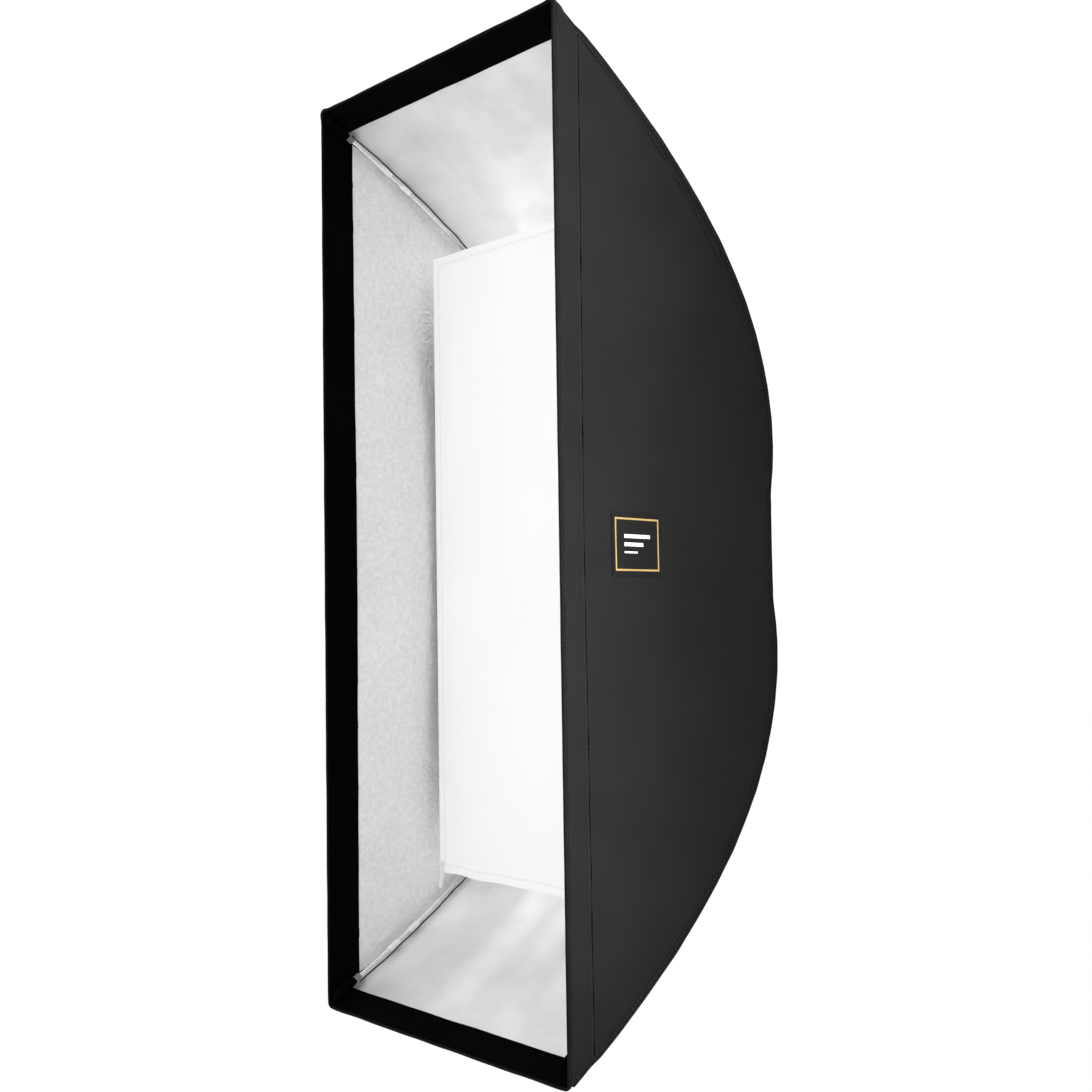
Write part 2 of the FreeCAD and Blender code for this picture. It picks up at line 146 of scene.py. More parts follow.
def waves(along, lengths, seed):
    """A smooth uneven wave between about -1 and 1."""
    phases = np.random.default_rng(seed).uniform(0, 2 * math.pi, len(lengths))
    total = sum(np.sin(2 * math.pi * along / n + p) for n, p in zip(lengths, phases))
    return total / len(lengths)


def folds(a, b, seed, count, box, width, length, turn):
    """Soft ridges at random places in box, each turned within the angles of turn."""
    rng = np.random.default_rng(seed)
    total = np.zeros(np.broadcast(a, b).shape)
    for _ in range(count):
        centre_a = rng.uniform(box[0], box[1])
        centre_b = rng.uniform(box[2], box[3])
        angle = math.radians(rng.uniform(*turn))
        height = rng.uniform(0.4, 1.0)
        spread = rng.uniform(0.7, 1.4)
        along = (a - centre_a) * math.cos(angle) + (b - centre_b) * math.sin(angle)
        across = (b - centre_b) * math.cos(angle) - (a - centre_a) * math.sin(angle)
        total += height * np.exp(-(across / (width * spread)) ** 2 - (along / length) ** 2)
    return total


def rise(distance, over):
    """0 at distance 0, turning smoothly to 1 at over."""
    t = np.clip(distance / over, 0.0, 1.0)
    return t * t * (3 - 2 * t)


def graded(count):
    """Shares from 0 to 1, closer together near both ends."""
    t = np.linspace(0.0, 1.0, count)
    return 0.6 * (0.5 - 0.5 * np.cos(math.pi * t)) + 0.4 * t


# Meshes

def quads(*corners):
    return np.stack([c.ravel() for c in corners], axis=1).tolist()


def grid_normals(grid):
    normals = np.cross(np.gradient(grid, axis=0), np.gradient(grid, axis=1))
    return normals / np.maximum(np.linalg.norm(normals, axis=2, keepdims=True), 1e-12)


def distances(grid, axis):
    """How far each point is along its row or column."""
    steps = np.linalg.norm(np.diff(grid, axis=axis), axis=2)
    start = np.zeros_like(np.take(steps, [0], axis=axis))
    return np.cumsum(np.concatenate([start, steps], axis=axis), axis=axis)


FORWARD = np.array([0.0, -1.0, 0.0])
BACKWARD = np.array([0.0, 1.0, 0.0])


def sheet(grid, thickness, outward=None):
    """A closed thin sheet. The grid is its outer face, and its thickness lies inwards."""
    if outward is None:
        outward = grid - np.array([0.0, (FRONT_Y + BACK_Y) / 2, 0.0])
    if np.mean(np.sum(grid_normals(grid) * outward, axis=2)) < 0:
        grid = grid[:, ::-1]
    rows, columns = grid.shape[:2]
    inner = grid - grid_normals(grid) * thickness
    vertices = np.concatenate([grid.reshape(-1, 3), inner.reshape(-1, 3)])
    uv = np.stack([distances(grid, 1), distances(grid, 0)], axis=2).reshape(-1, 2)
    index = np.arange(rows * columns).reshape(rows, columns)
    under = index + rows * columns
    a, b, c, d = index[:-1, :-1], index[1:, :-1], index[1:, 1:], index[:-1, 1:]
    shift = rows * columns
    faces = quads(a, b, c, d) + quads(d + shift, c + shift, b + shift, a + shift)
    faces += quads(index[1:, 0], index[:-1, 0], under[:-1, 0], under[1:, 0])
    faces += quads(index[:-1, -1], index[1:, -1], under[1:, -1], under[:-1, -1])
    faces += quads(index[0, :-1], index[0, 1:], under[0, 1:], under[0, :-1])
    faces += quads(index[-1, 1:], index[-1, :-1], under[-1, :-1], under[-1, 1:])
    return vertices, faces, np.concatenate([uv, uv])


def tube(rings):
    """A closed solid through rings of points, capped at both ends."""
    stations, around = rings.shape[:2]
    along = distances(rings, 0)
    girth = distances(rings, 1)
    uv = np.stack([girth, along], axis=2).reshape(-1, 2)
    index = np.arange(stations * around).reshape(stations, around)
    after = np.roll(index, -1, axis=1)
    faces = quads(index[:-1], after[:-1], after[1:], index[1:])
    faces += [index[0, ::-1].tolist(), index[-1].tolist()]
    return rings.reshape(-1, 3), faces, uv


def at_spacing(path, normals, pitch):
    """Points, normals and directions along a path, one pitch apart."""
    steps = np.linalg.norm(np.diff(path, axis=0), axis=1)
    reached = np.concatenate([[0.0], np.cumsum(steps)])
    count = int(reached[-1] / pitch)
    wanted = (np.arange(count) + 0.5) * reached[-1] / count
    points = np.stack([np.interp(wanted, reached, path[:, k]) for k in range(3)], axis=1)
    ups = np.stack([np.interp(wanted, reached, normals[:, k]) for k in range(3)], axis=1)
    tangents = np.gradient(points, axis=0)
    tangents /= np.linalg.norm(tangents, axis=1, keepdims=True)
    ups -= tangents * np.sum(ups * tangents, axis=1, keepdims=True)
    return points, ups / np.linalg.norm(ups, axis=1, keepdims=True), tangents


STITCH_ALONG = np.array([-0.5, -0.36, 0.0, 0.36, 0.5])
STITCH_SWELL = np.array([0.4, 0.9, 1.0, 0.9, 0.4])
STITCH_LIFT = np.array([-1.0, 0.2, 0.6, 0.2, -1.0])


def stitches(path, normals, pitch=0.0045, length=0.0032, radius=0.00032):
    """A row of short threads along a path, each dipping into the cloth at its ends."""
    points, ups, tangents = at_spacing(path, normals, pitch)
    beside = np.cross(tangents, ups)
    angles = np.linspace(0, 2 * math.pi, 6, endpoint=False)
    vertices = (
        points[:, None, None]
        + tangents[:, None, None] * (STITCH_ALONG * length)[None, :, None, None]
        + ups[:, None, None] * (STITCH_LIFT * radius)[None, :, None, None]
        + radius * STITCH_SWELL[None, :, None, None] * (
            ups[:, None, None] * np.cos(angles)[None, None, :, None]
            + beside[:, None, None] * np.sin(angles)[None, None, :, None]
        )
    )
    index = np.arange(vertices[..., 0].size).reshape(vertices.shape[:3])
    after = np.roll(index, -1, axis=2)
    faces = quads(index[:, :-1], after[:, :-1], after[:, 1:], index[:, 1:])
    faces += index[:, 0, ::-1].tolist() + index[:, -1].tolist()
    vertices = vertices.reshape(-1, 3)
    return vertices, faces, vertices[:, 1:]


def make_piece(name, slot, parts, material=None):
    """One object from several closed parts, in the slot's own material unless one is given."""
    vertices = np.concatenate([p[0] for p in parts])
    uv = np.concatenate([p[2] for p in parts])
    faces = []
    start = 0
    for part in parts:
        faces += [[v + start for v in face] for face in part[1]]
        start += len(part[0])
    mesh = bpy.data.meshes.new(name)
    mesh.from_pydata(vertices.tolist(), [], faces)
    layer = mesh.uv_layers.new(name="UVMap")
    corners = np.zeros(len(mesh.loops), np.int32)
    mesh.loops.foreach_get("vertex_index", corners)
    layer.data.foreach_set("uv", uv[corners].astype(np.float32).ravel())
    mesh.polygons.foreach_set("use_smooth", [True] * len(mesh.polygons))
    mesh.set_sharp_from_angle(angle=math.radians(48))
    mesh.materials.append(material or MATERIALS[slot])
    made = bpy.data.objects.new(name, mesh)
    bpy.context.scene.collection.objects.link(made)
    return made


def bend_with_rods(pieces):
    """Bakes each piece's transform into its mesh; the pieces stay where they are built."""
    for piece in pieces:
        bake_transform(piece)


# Materials

def node(tree, kind, inputs=None, **settings):
    """A shader node. An input is a constant, or a socket to link."""
    made = tree.nodes.new("ShaderNode" + kind)
    for key, value in settings.items():
        setattr(made, key, value)
    for key, value in (inputs or {}).items():
        if isinstance(value, bpy.types.NodeSocket):
            tree.links.new(value, made.inputs[key])
        else:
            made.inputs[key].default_value = value
    return made


def on_body(tree):
    """Metres in the part's own frame."""
    return node(tree, "TexCoord").outputs["Object"]


def on_cloth(tree):
    """Metres along and across the piece's own cloth."""
    return node(tree, "UVMap").outputs["UV"]


def new_material(name):
    made = bpy.data.materials.new(name)
    made.use_nodes = True
    made.node_tree.nodes.clear()
    return made, made.node_tree


def ramp(tree, factor, dark, light, low=0.0, high=1.0):
    """A colour that goes from dark to light as factor goes from low to high."""
    made = node(tree, "ValToRGB", {"Fac": factor})
    for stop, place, colour in zip(made.color_ramp.elements, (low, high), (dark, light)):
        stop.position = place
        stop.color = (*colour, 1.0)
    return made.outputs["Color"]


def grey(value, tint=0.0):
    """A grey, slightly blue with tint."""
    return (value, value, value * (1 + tint))


def mixed(tree, factor, first, second):
    made = node(tree, "Mix", data_type="FLOAT")
    for key, value in ((0, factor), (2, first), (3, second)):
        if isinstance(value, bpy.types.NodeSocket):
            tree.links.new(value, made.inputs[key])
        else:
            made.inputs[key].default_value = value
    return made.outputs[0]


def math_node(tree, operation, first, second):
    return node(tree, "Math", {0: first, 1: second}, operation=operation).outputs[0]


def noise(tree, place, scale, detail=3.0, roughness=0.55):
    made = node(
        tree, "TexNoise",
        {"Vector": place, "Scale": scale, "Detail": detail, "Roughness": roughness},
    )
    return made.outputs["Fac"]


def bands(tree, place, pitch, direction, distortion=0.0):
    """Even ridges one pitch apart, from 0 to 1."""
    made = node(
        tree, "TexWave",
        {"Vector": place, "Scale": math.pi / 10 / pitch, "Distortion": distortion,
         "Detail": 1.0, "Detail Scale": 2.0},
        bands_direction=direction,
    )
    return made.outputs["Fac"]


def weave(tree, place, pitch):
    """Plain weave: warp and weft ridges that pass over each other in turn."""
    warp = bands(tree, place, pitch, "X")
    weft = bands(tree, place, pitch, "Y")
    over = node(tree, "TexChecker", {"Vector": place, "Scale": 1 / pitch}).outputs["Fac"]
    return mixed(tree, over, warp, weft)


def bump(tree, height, strength, distance, under=None):
    inputs = {"Height": height, "Strength": strength, "Distance": distance}
    if under is not None:
        inputs["Normal"] = under
    return node(tree, "Bump", inputs).outputs["Normal"]


def surface(tree, colour, roughness, normal, **constants):
    """The shader and the output. The constants go straight to the shader's own sockets."""
    inputs = {"Base Color": colour, "Roughness": roughness, "Normal": normal}
    inputs.update({key.replace("_", " "): value for key, value in constants.items()})
    shader = node(tree, "BsdfPrincipled", inputs)
    node(tree, "OutputMaterial", {"Surface": shader.outputs[0]})


def woven_material(name, dark, light, pitch, depth, roughness=0.8, cloud=9.0, **constants):
    """Cloth of visible threads, a little uneven in tone, on the piece's own UVs."""
    made, tree = new_material(name)
    place = on_cloth(tree)
    body = on_body(tree)
    threads = weave(tree, place, pitch)
    clouds = noise(tree, body, cloud)
    tone = mixed(tree, 0.35, clouds, threads)
    colour = ramp(tree, tone, dark, light, 0.25, 0.75)
    rough = mixed(tree, noise(tree, body, 140.0), roughness - 0.06, roughness + 0.06)
    fine = bump(tree, threads, 0.35, depth)
    normal = bump(tree, noise(tree, body, 55.0), 0.25, 0.0006, fine)
    surface(tree, colour, rough, normal, **constants)
    return made


def silver_material(name, pebbling, creasing, grain):
    """Aluminium-coated lining: a film with pebbles, soft creases and a share of fine grain."""
    made, tree = new_material(name)
    body = on_body(tree)
    pebbles = node(
        tree, "TexVoronoi", {"Vector": body, "Scale": 330.0, "Smoothness": 0.6},
        feature="SMOOTH_F1",
    ).outputs["Distance"]
    creases = noise(tree, body, 38.0, 5.0, 0.6)
    clouds = noise(tree, body, 11.0, 4.0)
    tone = mixed(tree, grain, clouds, noise(tree, body, 210.0, 5.0, 0.7))
    colour = ramp(tree, tone, grey(0.73, 0.008), grey(0.88, 0.008), 0.36, 0.64)
    rough = mixed(tree, creases, 0.36, 0.56)
    fine = bump(tree, pebbles, pebbling, 0.0007)
    normal = bump(tree, creases, creasing, 0.0018, fine)
    surface(tree, colour, rough, normal, Metallic=0.55, Specular_IOR_Level=0.5)
    return made


def loop_material(name):
    """Deep black brushed loop fabric."""
    made, tree = new_material(name)
    body = on_body(tree)
    fuzz = noise(tree, body, 1400.0, 2.0, 0.7)
    clouds = noise(tree, body, 16.0)
    colour = ramp(tree, mixed(tree, 0.5, fuzz, clouds), grey(0.0004), grey(0.0016), 0.3, 0.7)
    rough = mixed(tree, fuzz, 0.93, 1.0)
    normal = bump(tree, fuzz, 0.5, 0.0005)
    surface(tree, colour, rough, normal, Specular_IOR_Level=0.02)
    return made


def ribbed_material(name, dark, light, pitch, depth, roughness=0.75, **constants):
    """Grosgrain tape or elastic: ribs across its length, fine threads along it."""
    made, tree = new_material(name)
    place = on_cloth(tree)
    body = on_body(tree)
    ribs = bands(tree, place, pitch, "Y", 0.4)
    threads = bands(tree, place, pitch * 0.45, "X", 0.2)
    relief = mixed(tree, 0.3, ribs, threads)
    tone = mixed(tree, 0.45, noise(tree, body, 60.0), relief)
    colour = ramp(tree, tone, dark, light, 0.25, 0.75)
    rough = mixed(tree, relief, roughness + 0.08, roughness - 0.06)
    surface(tree, colour, rough, bump(tree, relief, 0.6, depth), **constants)
    return made


def diffusion_material(name):
    """Milky ripstop diffusion nylon."""
    made, tree = new_material(name)
    place = on_cloth(tree)
    body = on_body(tree)
    threads = weave(tree, place, 0.0009)
    clouds = noise(tree, body, 7.0)
    colour = ramp(tree, mixed(tree, 0.3, clouds, threads), grey(0.93), grey(0.965), 0.3, 0.7)
    rough = mixed(tree, clouds, 0.62, 0.74)
    fine = bump(tree, threads, 0.12, 0.0001)
    normal = bump(tree, clouds, 0.2, 0.002, fine)
    surface(tree, colour, rough, normal, Sheen_Weight=0.1)
    return made


def metal_material(name, dark, light, roughness, pitch, grain="X", metallic=1.0, **constants):
    """Drawn or machined metal: fine tool lines along one direction, with slight stains."""
    made, tree = new_material(name)
    body = on_body(tree)
    lines = bands(tree, body, pitch, grain, 1.2)
    stains = noise(tree, body, 70.0, 4.0)
    colour = ramp(tree, stains, dark, light, 0.3, 0.7)
    rough = mixed(tree, mixed(tree, 0.5, stains, lines), roughness - 0.06, roughness + 0.1)
    surface(tree, colour, rough, bump(tree, lines, 0.12, 0.00005), Metallic=metallic, **constants)
    return made


def coated_material(name, dark, light, roughness, grain, depth, metallic=0.0, **constants):
    """Powder coat or moulded plastic: a fine pebbled skin, a little worn on its edges."""
    made, tree = new_material(name)
    body = on_body(tree)
    skin = noise(tree, body, grain, 2.0)
    clouds = noise(tree, body, 25.0)
    edges = node(tree, "NewGeometry").outputs["Pointiness"]
    worn = node(
        tree, "MapRange",
        {"Value": edges, "From Min": 0.52, "From Max": 0.60, "To Min": 0.0, "To Max": 0.5},
    ).outputs[0]
    tone = math_node(tree, "ADD", mixed(tree, 0.3, clouds, skin), worn)
    colour = ramp(tree, tone, dark, light, 0.3, 1.0)
    rough = mixed(tree, clouds, roughness - 0.07, roughness + 0.07)
    surface(tree, colour, rough, bump(tree, skin, 0.3, depth), Metallic=metallic, **constants)
    return made


def floor_material():
    """A pale studio floor, barely uneven."""
    made, tree = new_material("studio_floor")
    body = on_body(tree)
    clouds = noise(tree, body, 0.8)
    colour = ramp(tree, clouds, grey(0.945), grey(0.955), 0.3, 0.7)
    surface(tree, colour, 0.8, bump(tree, clouds, 0.05, 0.0005), Specular_IOR_Level=0.2)
    return made


MATERIALS = {
    "outer_fabric": woven_material(
        "outer_nylon", grey(0.0050, 0.05), grey(0.0085, 0.05), 0.0006, 0.00012,
        roughness=0.66, Specular_IOR_Level=0.03,
    ),
    "silver_lining": silver_material("silver_film", 0.8, 1.0, 0.7),
    "black_lining": loop_material("black_loop_cloth"),
    "binding_tape": ribbed_material(
        "black_grosgrain", grey(0.0015), grey(0.006), 0.0013, 0.0003,
        roughness=0.65, Specular_IOR_Level=0.05,
    ),
    "diffusion_fabric": diffusion_material("diffusion_nylon"),
    "elastic": ribbed_material("black_elastic", grey(0.006), grey(0.02), 0.0012, 0.0004),
    "white_elastic": ribbed_material("white_elastic", grey(0.72), grey(0.86), 0.0012, 0.0003),
    "woven_label": woven_material(
        "label_ground", grey(0.0025), grey(0.0065), 0.0005, 0.0001,
        roughness=0.7, Specular_IOR_Level=0.05,
    ),
    "cast_ring": coated_material(
        "powder_coat", grey(0.012), grey(0.10), 0.48, 900.0, 0.00015,
        Specular_IOR_Level=0.5,
    ),
    "insert_metal": metal_material(
        "machined_aluminium", grey(0.62), grey(0.78), 0.30, 0.0006, "Y",
    ),
    "bracket_steel": coated_material(
        "satin_black_steel", grey(0.015), grey(0.16), 0.42, 700.0, 0.0001,
        metallic=0.2, Coat_Weight=0.15,
    ),
    "plated_steel": metal_material("zinc_plate", (0.60, 0.60, 0.58), (0.78, 0.77, 0.74), 0.32, 0.0005),
    "rod_steel": metal_material("spring_steel", grey(0.72), grey(0.86), 0.16, 0.0004),
    "black_plastic": coated_material("moulded_black", grey(0.012), grey(0.06), 0.5, 500.0, 0.0002),
    "grey_plastic": coated_material("moulded_grey", grey(0.10), grey(0.24), 0.45, 500.0, 0.0002),
}
SATIN_FILM = silver_material("satin_silver_film", 0.08, 0.12, 0.0)
BLACK_THREAD = ribbed_material(
    "black_thread", grey(0.006), grey(0.016), 0.0006, 0.0001, Specular_IOR_Level=0.2,
)
WHITE_THREAD = ribbed_material("white_thread", grey(0.70), grey(0.82), 0.0006, 0.0001)
GOLD_THREAD = ribbed_material(
    "gold_thread", (0.17, 0.105, 0.03), (0.29, 0.19, 0.06), 0.0006, 0.0002, roughness=0.5,
)
PALE_THREAD = ribbed_material("pale_thread", grey(0.30), grey(0.42), 0.0006, 0.0002)

CAD_FINISHES = {
    "insert_metal": ["mount_insert"],
    "cast_ring": ["speedring_body", "retaining_ring"],
    "plated_steel": [
        "retaining_screws", "bracket_screws", "latch_pins", "latch_springs", "hinge_pin", "rod_base",
    ],
    "bracket_steel": ["bracket"],
    "rod_steel": ["rod"],
    "black_plastic": ["lock_knob"],
    "grey_plastic": ["latch", "rod_tip"],
}


def finish_cad_nodes():
    """Gives the metal and plastic CAD nodes their finishes."""
    corners = [f"_{level}_{side}" for level in LEVELS for side in SIDES]
    for finish, names in CAD_FINISHES.items():
        for name in [name + ending for name in names for ending in ["", *corners]]:
            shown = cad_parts.get(name)
            if shown is not None:
                shown.data.materials.clear()
                shown.data.materials.append(MATERIALS[finish])


# The rim, a rounded rectangle that the front band, the lip and the hem follow

def rim_path():
    """Half the rim from mid right over the top to mid left, as (x, z) points and normals."""
    straight_z = HALF_HEIGHT - CORNER_RADIUS
    straight_x = HALF_WIDTH - CORNER_RADIUS
    up = np.linspace(0.0, straight_z, 90)
    turn = np.linspace(0.0, math.pi / 2, 12)[1:-1]
    over = np.linspace(straight_x, -straight_x, 70)
    right = np.stack([np.full_like(up, HALF_WIDTH), up], axis=1)
    corner = np.stack(
        [straight_x + CORNER_RADIUS * np.cos(turn), straight_z + CORNER_RADIUS * np.sin(turn)],
        axis=1,
    )
    top = np.stack([over, np.full_like(over, HALF_HEIGHT)], axis=1)
    first = np.concatenate([right, corner])
    last = first[::-1] * (-1, 1)
    bend = np.stack([np.cos(turn), np.sin(turn)], axis=1)
    sides = np.concatenate([np.tile([1.0, 0.0], (len(up), 1)), bend])
    points = np.concatenate([first, top, last])
    normals = np.concatenate([sides, np.tile([0.0, 1.0], (len(over), 1)), sides[::-1] * (-1, 1)])
    return points, normals


RIM, RIM_OUT = rim_path()
RIM_AT = np.concatenate([[0.0], np.cumsum(np.linalg.norm(np.diff(RIM, axis=0), axis=1))])
CORNER_AT = HALF_HEIGHT - CORNER_RADIUS + CORNER_RADIUS * math.pi / 4
FROM_CORNER = np.minimum(np.abs(RIM_AT - CORNER_AT), np.abs(RIM_AT[-1] - RIM_AT - CORNER_AT))


def rim_surface(y, inset, level):
    """Points round half the rim at depth y, moved in by inset."""
    flat = RIM - RIM_OUT * np.asarray(inset)[..., None]
    y = np.broadcast_to(y, flat.shape[:-1])
    z = flat[..., 1] * profile(s_at_depth(y))[1] / HALF_HEIGHT
    x = flat[..., 0] * side_x(y, z) / HALF_WIDTH
    return np.stack([x, y, LEVELS[level] * z], axis=-1)


# How far the band's corners stand out over the rod tips. Below they are drawn in
CORNER_KNOB = {"top": 0.0032, "bottom": -0.0010}


def band_inset(depth, level):
    """The band's fullness, its tuck under the next panel, and its corners over the rod tips."""
    depth = np.asarray(depth)
    full = 0.0007 * np.sin(math.pi * np.clip(depth / BAND_EDGE, 0, 1))
    tuck = 0.0011 * rise(depth - BAND_EDGE, 0.0007)
    uneven = 0.0004 * waves(RIM_AT, (0.083, 0.131, 0.052), 11) * rise(FROM_CORNER, 0.03)
    at_tip = np.exp(-((FROM_CORNER / 0.0065) ** 2) - ((depth - 0.007) / 0.008) ** 2)
    return tuck - full - CORNER_KNOB[level] * at_tip + uneven


def make_front_band(level):
    stations = np.concatenate([BAND_EDGE * graded(16), [BAND_EDGE + 0.0004, BAND_DEPTH, BAND_TUCK]])
    depths = stations[:, None] + np.zeros_like(RIM_AT)
    grid = rim_surface(FRONT_Y + depths, band_inset(depths, level), level)
    return make_piece(f"front_band_{level}", "outer_fabric", [sheet(grid, OUTER_THICK)])


def rim_line(depth, lift, level):
    """A line on the front band for stitching, with the cloth's normals."""
    inset = band_inset(np.full_like(RIM_AT, depth), level) - lift
    line = rim_surface(FRONT_Y + depth, inset, level)
    out = np.stack([RIM_OUT[:, 0], np.zeros_like(RIM_AT), LEVELS[level] * RIM_OUT[:, 1]], axis=1)
    return line, out


def lip_depth(level):
    """The lip is deeper on the long sides than across the ends."""
    past_corner = np.minimum(RIM_AT, RIM_AT[-1] - RIM_AT) - CORNER_AT
    share = rise(past_corner + CORNER_RADIUS, 2 * CORNER_RADIUS)
    return LIP_SIDE_DEPTH + (LIP_END_DEPTH[level] - LIP_SIDE_DEPTH) * share


def make_lip(level):
    share = graded(12)[:, None]
    depths = share * lip_depth(level)
    slack = 0.0004 * waves(RIM_AT, (0.11, 0.067, 0.21), 17) * share
    bead = -0.0005 * np.exp(-(((1 - share) / 0.06) ** 2))
    inset = LIP_FRONT_INSET + (LIP_REAR_INSET - LIP_FRONT_INSET) * share
    grid = rim_surface(FRONT_Y + depths, inset + slack + bead, level)
    return make_piece(f"lip_lining_{level}", "black_lining", [sheet(grid, LIP_THICK)])


HEM_SECTION = np.array([
    (-0.0008, 0.0046), (-0.0011, 0.0038), (-0.0011, 0.0008), (-0.0008, -0.0004),
    (-0.0001, -0.0012), (0.0007, -0.0015), (0.0015, -0.0011), (0.0021, -0.0003),
    (0.0023, 0.0006), (0.0023, 0.0018), (0.0021, 0.0022), (0.0018, 0.0022),
    (0.0017, 0.0010), (-0.0003, 0.0010), (-0.0003, 0.0046),
])

# How much of the band's own relief the tape follows, outside it and within
HEM_FOLLOWS = (0.8, 0.28)


def make_front_hem(level):
    """The folded tape that binds the outer cloth and the lip round the front edge."""
    under = band_inset(np.full_like(RIM_AT, 0.003), level)
    rings = []
    for inset, depth in HEM_SECTION:
        share = HEM_FOLLOWS[0] if inset < 0.0005 else HEM_FOLLOWS[1]
        rings.append(rim_surface(FRONT_Y + depth, inset + share * under, level))
    return make_piece(f"front_binding_{level}", "binding_tape", [tube(np.stack(rings, axis=1))])


# Stitching round the rim: how deep behind the front edge, and how far off the band
RIM_STITCHES = ((BAND_DEPTH - 0.0032, 0.0001), (0.0030, 0.0012))


# The side panels

def side_relief(y, z):
    """How far a side panel stands out of its plane."""
    rear = profile(s_at_height(z))[0]
    from_seam = np.maximum(rear - y, 0.0)
    from_band = np.maximum(y - BAND_Y, 0.0)
    puckers = 0.0006 * np.exp(-from_seam / 0.022) * waves(z, (0.031, 0.023, 0.047), 3)
    gathers = 0.0004 * np.exp(-from_band / 0.02) * waves(z, (0.052, 0.037), 7)
    inside = rise(from_seam, 0.05) * rise(from_band, 0.05)
    broad = 0.0010 * waves(z + 0.5 * y, (0.34, 0.23, 0.17), 5) * inside
    return puckers + gathers + broad


def side_grid(side, level, inset=0.0, front=BAND_DEPTH, rows=110, columns=66):
    """Points over half a side panel, from mid height to the tip where its two seams meet."""
    tip = profile(s_at_depth(FRONT_Y + front + 0.0012))[1]
    z = (tip * np.linspace(0, 1, rows))[:, None]
    rear = profile(s_at_height(z))[0]
    y = (FRONT_Y + front) + (rear - FRONT_Y - front) * graded(columns)[None, :]
    z = np.broadcast_to(z, y.shape)
    signed = LEVELS[level] * z
    x = side_x(y, z) + side_relief(y, signed) - inset
    return np.stack([SIDES[side] * x, y, signed], axis=-1)


def make_side_panel(side, level):
    return make_piece(
        f"side_panel_{level}_{side}", "outer_fabric",
        [sheet(side_grid(side, level), OUTER_THICK)],
    )


def make_side_liner(side, level):
    grid = side_grid(side, level, LINER_INSET, LIP_SIDE_DEPTH - LINER_UNDER_LIP, 120, 72)
    y, z = grid[..., 1], grid[..., 2]
    rear = profile(s_at_height(z))[0]
    inside = rise(y - grid[:, :1, 1], 0.04) * rise(rear - y, 0.03)
    seed = 30 + SIDES[side]
    soft = folds(z, y, seed, 26, (-0.44, 0.44, FRONT_Y, BACK_Y), 0.012, 0.07, (-35, 35))
    puckers = np.exp(-np.maximum(rear - y, 0) / 0.03) * (1 + waves(z, (0.019, 0.027, 0.012), 8))
    ruffle = np.exp(-(y - grid[:, :1, 1]) / 0.012) * (1 + waves(z, (0.016, 0.0235), 9))
    inward = 0.0016 * soft * inside + 0.0007 * puckers + 0.0003 * ruffle
    grid[..., 0] -= SIDES[side] * inward
    return make_piece(f"side_liner_{level}_{side}", "silver_lining", [sheet(grid, LINER_THICK)])


# The end panels, over the bowed rods

PANEL_S = float(s_at_height(PANEL_TOP))


def end_relief(s, x):
    """How far an end panel stands out of the bowed outline: it sags between its rods."""
    width = half_width(s)
    from_seam = np.maximum(width - np.abs(x), 0.0)
    middle = rise(s - PANEL_S, 0.22) * (1 - rise(s - 0.62, 0.32))
    sag = 0.0075 * (1 - (x / width) ** 2) * middle
    along = s * 0.52
    puckers = 0.0008 * np.exp(-from_seam / 0.018) * waves(along, (0.029, 0.041, 0.019), 13)
    pulls = 0.0006 * waves(along + 0.15 * x, (0.062, 0.097, 0.14), 19)
    return puckers + pulls * rise(from_seam, 0.03) - sag


def end_grid(level, inward, first, last, rows, columns):
    """Points over an end panel. inward(s, x) is how far under the outer face they lie."""
    s = first + (last - first) * graded(rows)[:, None]
    x = half_width(s) * (2 * graded(columns) - 1)[None, :]
    s = np.broadcast_to(s, x.shape)
    return over_outline(s, x, end_relief(s, x) - inward(s, x), level)


def make_end_panel(level):
    grid = end_grid(level, lambda s, x: 0.0, PANEL_S, BAND_S, 90, 70)
    return make_piece(f"end_panel_{level}", "outer_fabric", [sheet(grid, OUTER_THICK)])


def end_liner_inset(level):
    """The lining's own folds: diagonal and blurred above, long waves front to back below."""
    def inward(s, x):
        inside = rise(half_width(s) - np.abs(x), 0.03) * rise(0.965 - s, 0.12)
        if level == "top":
            soft = folds(x, s * 0.5, 41, 12, (-0.16, 0.16, 0.1, 0.48), 0.022, 0.11, (15, 75))
            own = 0.0042 * soft
        else:
            drift = x + 0.006 * np.sin(7 * s)
            own = 0.0034 * (1 + waves(drift, (0.117, 0.071, 0.053), 43))
        puckers = np.exp(-(half_width(s) - np.abs(x)) / 0.02)
        edge = 0.0006 * puckers * (1 + waves(s * 0.5, (0.017, 0.026, 0.011), 51))
        return LINER_INSET + own * inside + edge
    return inward


def make_end_liner(level):
    last = float(s_at_depth(FRONT_Y + LIP_END_DEPTH[level] - LINER_UNDER_LIP))
    grid = end_grid(level, end_liner_inset(level), PANEL_S, last, 100, 84)
    return make_piece(f"end_liner_{level}", "silver_lining", [sheet(grid, LINER_THICK)], SATIN_FILM)


# The back panel and its elastic collar

HOLE_RADIUS = 0.0955
COLLAR_WIRE = 0.0022


def back_outline(angles):
    """The radius of the back panel's edge at each angle from its centre."""
    upward = np.abs(np.sin(angles))
    across = np.abs(np.cos(angles))
    radius = np.full_like(angles, PANEL_TOP)
    for _ in range(6):
        width = half_width(s_at_height(radius * upward))
        radius = np.minimum(PANEL_TOP / np.maximum(upward, 1e-9), width / np.maximum(across, 1e-9))
    return radius


def collar_ruffles(angles):
    """The gathers that the elastic makes round the ring, from -1 to 1."""
    return np.sin(52 * angles + 1.7 * waves(angles, (0.9, 1.6, 0.55), 61))


